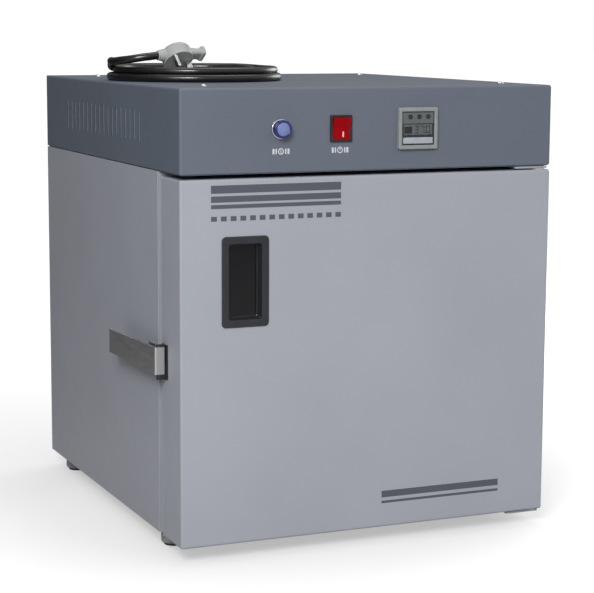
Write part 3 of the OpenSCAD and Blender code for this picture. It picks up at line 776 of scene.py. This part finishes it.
def add_louvre_blades():
    """The metal of each louvre, bent inwards behind its slot."""
    low, high = limits("control_cover")
    bm = bmesh.new()
    for y in louvre_positions():
        for x, inner in ((low.x, low.x + BLADE_DEPTH), (high.x, high.x - BLADE_DEPTH)):
            section = [(x, y + LOUVRE_SLOT), (x, y + LOUVRE_SLOT + BLADE_T), (inner, y + BLADE_T), (inner, y)]
            loft(bm, [[(px, py, LOUVRE_Z + dz) for px, py in section] for dz in (0, LOUVRE_H)],
                 cap_first=True, cap_last=True)
    add_piece("louvre_blades", bm, "cabinet", "housing_paint")


# ---- Door ----

WINDOW_X, WINDOW_Z = centre_of("window_frame")


def add_door_skin():
    """Folded front skin of the door with a cut-out for the window."""
    low, high = limits("door_skin")
    width, height = high.x - low.x, high.z - low.z
    cx, cz = centre_of("door_skin")
    fold = 2.6
    bm = bmesh.new()
    loops = [facing(rounded_rect(cx, cz, width, height, fold), high.y)]
    for step in range(7):
        angle = math.radians(90 * step / 6)
        inset = fold * (1 - math.cos(angle))
        depth = fold * (1 - math.sin(angle))
        outline = rounded_rect(cx, cz, width - 2 * inset, height - 2 * inset, max(fold - inset, 0.4))
        loops.append(facing(outline, low.y + depth))
    margin = fold + 1.0
    loops.append(facing(rounded_rect(cx, cz, width - 2 * margin, height - 2 * margin, 0.4), low.y))
    rings = loft(bm, loops)
    frame_low, frame_high = limits("window_frame")
    hole = rounded_rect(WINDOW_X, WINDOW_Z, frame_high.x - frame_low.x - 4,
                        frame_high.z - frame_low.z - 4, 2.0)
    lip = loft(bm, [facing(hole, low.y), facing(hole, low.y + SHEET)])
    fill_between(bm, [rings[-1], lip[0]])
    inner = rounded_rect(cx, cz, width - 2 * SHEET, height - 2 * SHEET, 1.5)
    inside = loft(bm, [facing(inner, low.y + SHEET), facing(inner, high.y)])
    fill_between(bm, [inside[0], lip[1]])
    fill_between(bm, [rings[0], inside[1]])
    add_piece("door_skin_finished", bm, "door", "body_paint", ("door_skin",))


def add_window_frame():
    """Moulded frame: a flat rim with rolled edges and a recess that narrows towards the pane."""
    low, high = limits("window_frame")
    w, h = high.x - low.x, high.z - low.z
    glass_y = limits("outer_glass")[0].y
    # how far each ring stands in from the outside, its corner radius and its depth
    profile = [(0.2, 5.0, low.y + 1.55), (0.0, 5.0, low.y + 1.2), (0.3, 4.8, low.y + 0.4),
               (1.2, 4.2, low.y), (7.6, 3.2, low.y), (8.4, 3.0, low.y + 0.3),
               (8.9, 2.8, low.y + 1.1), (10.6, 2.0, glass_y - 0.6), (11.2, 1.8, glass_y - 0.1)]
    rear = [(6.0, 1.2, glass_y - 0.1), (6.0, 1.2, high.y), (2.2, 2.0, high.y), (2.2, 2.0, low.y + 1.55)]
    bm = bmesh.new()
    for rings in (profile, [profile[-1], *rear, profile[0]]):
        loft(bm, [facing(rounded_rect(WINDOW_X, WINDOW_Z, w - 2 * inset, h - 2 * inset, r), y)
                  for inset, r, y in rings])
    add_piece("window_frame_finished", bm, "door", "window_plastic", ("window_frame",))


# ---- Latch ----

def add_latch_lever():
    """Bent strap with a rounded return in front and its magnet behind."""
    low, high = limits("latch_lever")
    t = 2.5
    # how far the front face and the rear end stand off the cabinet's side
    face = 14.4
    reach = -low.x
    front = limits("latch_bracket")[0].y + 4
    end = high.y
    slope = math.tan(math.radians(1.5))
    bm = bmesh.new()
    outline = [(-3.0, front), (-face + 2, front)]
    for k in range(5):
        angle = math.radians(90 + 22 * k)
        outline.append((-face + 2.2 + 2.4 * math.cos(angle), front + 2.4 - 2.4 * math.sin(angle)))
    outline += [(-reach, end - 3), (-reach + 0.8, end - 0.6), (-reach + t - 0.6, end - 0.2),
                (t - reach, end - 3), (t - face + 0.3, front + t + 1), (t - face + 1.2, front + t),
                (-3.0, front + t)]
    lower = [(x, y, low.z + max(0.0, y - front - 10) * slope) for x, y in outline]
    loft(bm, [lower, [(x, y, high.z) for x, y in outline]], cap_first=True, cap_last=True)
    bevel_sharp(bm, 0.5, segments=2, angle=60.0)
    add_piece("latch_lever_finished", bm, "latch", "lever_steel", ("latch_lever",), smooth=40.0)
    magnet_y = limits("strike_plate")[0].y + 2
    magnet_z = (low.z + high.z) / 2
    bm = bmesh.new()
    box(bm, (-14.5, magnet_y, magnet_z - 10), (-2.0, magnet_y + 20, magnet_z + 10))
    bevel_sharp(bm, 0.8)
    add_piece("latch_magnet", bm, "latch", "rubber")


# ---- Screws ----

def add_back_screws():
    """Domed screws that hold the two back panels."""
    low, high = limits("back_panel")
    upper_low, upper_high = limits("control_back")
    margin = 14.0
    left, right = low.x + margin, high.x - margin
    places = [(x, z) for x in (left, (left + right) / 2, right) for z in (low.z + margin, high.z - margin)]
    places += [(x, (low.z + high.z) / 2) for x in (left, right)]
    places += [(x, z) for x in (left, right) for z in (upper_low.z + margin, upper_high.z - margin)]
    bm = bmesh.new()
    for x, z in places:
        turned(bm, [(3.8, 0.0), (3.8, 0.4), (3.5, 1.1), (2.8, 1.7), (1.7, 2.1), (1.2, 2.1), (1.1, 1.3)],
               (x, high.y, z), sides=24)
    add_piece("back_screws", bm, "cabinet", "screw_metal")


# ---- Controls ----

def add_print(name, shapes, y, material, body="cabinet", slot="housing_paint", thick=0.08):
    """Flat shapes that stand thick millimetres proud of the surface at depth y."""
    bm = bmesh.new()
    for outer, holes in shapes:
        cut_plate(bm, outer, holes, y - thick, y + 0.02)
    add_piece(name, bm, body, slot, material=material)


def bar(x0, x1, z0, z1, r=0.2):
    """Rectangle with slightly round corners, as an outline and its holes."""
    return rounded_rect((x0 + x1) / 2, (z0 + z1) / 2, x1 - x0, z1 - z0, r, arc=2), ()


def add_button():
    """Round cap with its lens, and the bright threaded ring round it."""
    cap_rear = limits("push_button")[1].y
    lens_rear = limits("button_lens")[1].y
    cx, cz = centre_of("push_button")
    bm = bmesh.new()
    turned(bm, [(7.6, -9.1), (7.9, -9.9), (8.3, -10.1), (9.4, -10.0), (10.1, -9.6), (10.4, -8.8),
                (10.4, -6.7), (10.0, -6.2), (8.0, -6.2), (8.0, cap_rear)], (cx, 0, cz))
    add_piece("push_button_finished", bm, "button", "button_blue", ("push_button",))
    bm = bmesh.new()
    turned(bm, [(0.3, -10.38), (3.0, -10.3), (5.5, -10.05), (7.0, -9.7), (7.6, -9.3), (7.6, lens_rear)],
           (cx, 0, cz))
    add_piece("button_lens_finished", bm, "button", "lens_blue", ("button_lens",))
    bm = bmesh.new()
    turned(bm, [(8.05, 17.0), (8.05, -2.2), (8.6, -3.0), (10.4, -3.0), (11.2, -2.6), (11.5, -1.8),
                (11.5, -0.1), (8.9, -0.1), (8.9, 17.0)], (cx, 0, cz))
    add_piece("button_bezel_finished", bm, "cabinet", "screw_metal", ("button_bezel",))


def add_controller():
    """Bezel with rolled edges, the dark inner plate, its keys, its grey zone and its figures."""
    low, high = limits("controller_bezel")
    cx, cz = centre_of("controller_bezel")
    w, h = high.x - low.x, high.z - low.z
    face_low, face_high = limits("controller_face")
    fw, fh = face_high.x - face_low.x, face_high.z - face_low.z
    inner = (w - fw) / 2 - 0.1
    profile = [(0.0, 2.0, high.y), (0.0, 2.0, low.y + 1.0), (0.3, 1.9, low.y + 0.3), (1.0, 1.6, low.y),
               (inner - 0.8, 1.2, low.y), (inner - 0.2, 1.0, low.y + 0.4), (inner, 0.8, low.y + 1.0),
               (inner, 0.8, high.y), (0.0, 2.0, high.y)]
    bm = bmesh.new()
    loops = []
    for inset, r, y in profile:
        ih = inset * ((h - fh) / (w - fw))
        loops.append(facing(rounded_rect(cx, cz, w - 2 * inset, h - 2 * ih, r), y))
    loft(bm, loops)
    add_piece("controller_bezel_finished", bm, "cabinet", "bezel_plastic", ("controller_bezel",))
    for node in ("controller_face", "controller_display", "controller_strip",
                 "left_key", "middle_key", "right_key"):
        softened(node, SOFT_CONTROL)
    holes = [circle(*centre_of(node), 2.9, 32) for node in ("left_key", "middle_key", "right_key")]
    zone_z0, zone_z1 = cz + 5.6, face_high.z - 1.2
    zone = rounded_rect(cx, (zone_z0 + zone_z1) / 2, fw - 2.4, zone_z1 - zone_z0, 0.6)
    add_print("controller_zone", [(zone, holes)], face_low.y, GREY_PANEL, thick=0.25)
    add_digits()


SEGMENTS = {"0": "abcdef", "3": "abgcd", "7": "abc"}
DIGIT_W = 5.4
DIGIT_PITCH = 7.6
DIGIT_MARGIN = 1.8
POINT_W = 1.2


def digit_bars(x, z, w, h, lit, t=0.9):
    """Seven-segment digit as flat bars, its lower left corner at (x, z)."""
    mid = z + h / 2
    places = {
        "a": (x + t, x + w - t, z + h - t, z + h), "d": (x + t, x + w - t, z, z + t),
        "g": (x + t, x + w - t, mid - t / 2, mid + t / 2),
        "f": (x, x + t, mid + t / 4, z + h - t / 2), "b": (x + w - t, x + w, mid + t / 4, z + h - t / 2),
        "e": (x, x + t, z + t / 2, mid - t / 4), "c": (x + w - t, x + w, z + t / 2, mid - t / 4),
    }
    return [bar(*places[s], r=0.15) for s in lit]


def add_digits():
    """A dark block and the figures 37.0 on the display."""
    low, high = limits("controller_display")
    shapes = [bar(low.x + 0.8, low.x + 11.0, low.z + 1.5, high.z - 2.5)]
    left = low.x + 13.5
    height = high.z - low.z - 2 * DIGIT_MARGIN
    for k, digit in enumerate("370"):
        x = left + k * DIGIT_PITCH
        shapes += digit_bars(x, low.z + DIGIT_MARGIN, DIGIT_W, height, SEGMENTS[digit])
    point = left + 2 * DIGIT_PITCH - 1.6
    shapes.append(bar(point, point + POINT_W, low.z + 1.7, low.z + 1.7 + POINT_W))
    add_print("display_digits", shapes, low.y, LCD_INK, slot="display")


# ---- Printed marks, all generic ----

ROCKER_PIVOT_Y = 0.9
ROCKER_CROWN = 3.2
ROCKER_TILT = 9.0


def add_rocker_mark():
    """Short bar on the pressed half of the rocker, which is upright at rest."""
    cx, cz = centre_of("switch_housing")
    face = ROCKER_PIVOT_Y - ROCKER_CROWN * math.cos(math.radians(ROCKER_TILT))
    mark = [bar(cx + 1.2, cx + 2.9, cz - 9.6, cz - 3.4, r=0.4)]
    add_print("rocker_mark", mark, face, LIGHT_INK, "rocker", "rocker_red")


def ring_shape(x, z, r, t):
    """Ring of outer radius r, t wide, as an outline and its hole."""
    return circle(x, z, r, 32), (circle(x, z, r - t, 32),)


STRIPES_LEFT = 36.6
STRIPES_RIGHT = 194.8
STRIPE_LEVELS = ((422.0, 431.0), (412.0, 419.0), (405.0, 409.5))
SQUARES = 14
SQUARE_W = 7.0
SQUARE_LEVEL = (391.0, 396.5)
BAND_LEFT = 250.7
BAND_RIGHT = 407.5
BAND_LEVELS = ((56.0, 64.0), (49.0, 52.0))
SYMBOL_Z = 467.0
BUTTON_SYMBOL_X = 120.3
SWITCH_SYMBOL_X = 193.0


def add_door_prints():
    face = limits("door_skin")[0].y
    stripes = [bar(STRIPES_LEFT, STRIPES_RIGHT, *level) for level in STRIPE_LEVELS]
    pitch = (STRIPES_RIGHT - STRIPES_LEFT - SQUARE_W) / (SQUARES - 1)
    for k in range(SQUARES):
        x = STRIPES_LEFT + k * pitch
        stripes.append(bar(x, x + SQUARE_W, *SQUARE_LEVEL))
    add_print("door_stripes", stripes, face, DARK_INK, "door", "body_paint")
    band = [bar(BAND_LEFT, BAND_RIGHT, *level) for level in BAND_LEVELS]
    add_print("door_band", band, face, DARK_INK, "door", "body_paint")


def add_panel_symbols():
    """Under the button and the switch: a ring between pairs of bars."""
    z = SYMBOL_Z
    symbols = []
    for x in (BUTTON_SYMBOL_X, SWITCH_SYMBOL_X):
        symbols.append(ring_shape(x, z, 3.6, 1.1))
        for inner, outer in ((-10.3, -7.9), (-6.6, -5.0), (5.0, 6.6), (7.9, 10.3)):
            symbols.append(bar(x + inner, x + outer, z - 3.0, z + 3.0))
    symbols.append(bar(BUTTON_SYMBOL_X - 0.5, BUTTON_SYMBOL_X + 0.5, z - 1.8, z + 1.8))
    symbols.append(bar(SWITCH_SYMBOL_X - 0.6, SWITCH_SYMBOL_X + 0.6, z - 0.4, z + 4.4))
    add_print("panel_symbols", symbols, limits("control_cover")[0].y, LIGHT_INK)


# ---- Assembly ----

def dress_cad_nodes():
    """Gives every CAD node its finish."""
    for node in frame["nodes"].values():
        for slot in node.material_slots:
            slot.material = FINISHES[slot.material.name.split(".")[0]]


add_camera()
bpy.context.scene.view_settings.view_transform = "Standard"
add_world(dark=0.0, bright=0.75, towards=(0.5, -0.75, 0.4))
add_area_light("key", at=(-1.52, -2.35, 1.7), target=(0.0, 0.0, 0.3), size=(1.0, 1.0), power=71.0)
add_area_light("overhead", at=(0.3, 0.4, 2.3), target=(0.0, 0.0, 0.4), size=(1.6, 1.6), power=13.0)
add_area_light("rear_fill", at=(2.4, 1.3, 0.9), target=(0.0, 0.0, 0.3), size=(1.6, 1.2), power=22.0)
add_floor()
add_plug_body()
mains_cord = add_cord()
add_cover()
add_louvre_blades()
add_door_skin()
add_window_frame()
add_latch_lever()
add_button()
add_controller()
add_door_prints()
add_panel_symbols()
add_rocker_mark()
add_back_screws()
for plate in ("left_side_panel", "right_side_panel", "back_panel", "front_frame", "door_liner",
              "control_back", "switch_housing", "switch_rocker", "latch_bracket",
              "top_hinge_bracket", "bottom_hinge_bracket", "strike_plate", "plug_pins"):
    softened(plate, SOFT_EDGE)
dress_cad_nodes()
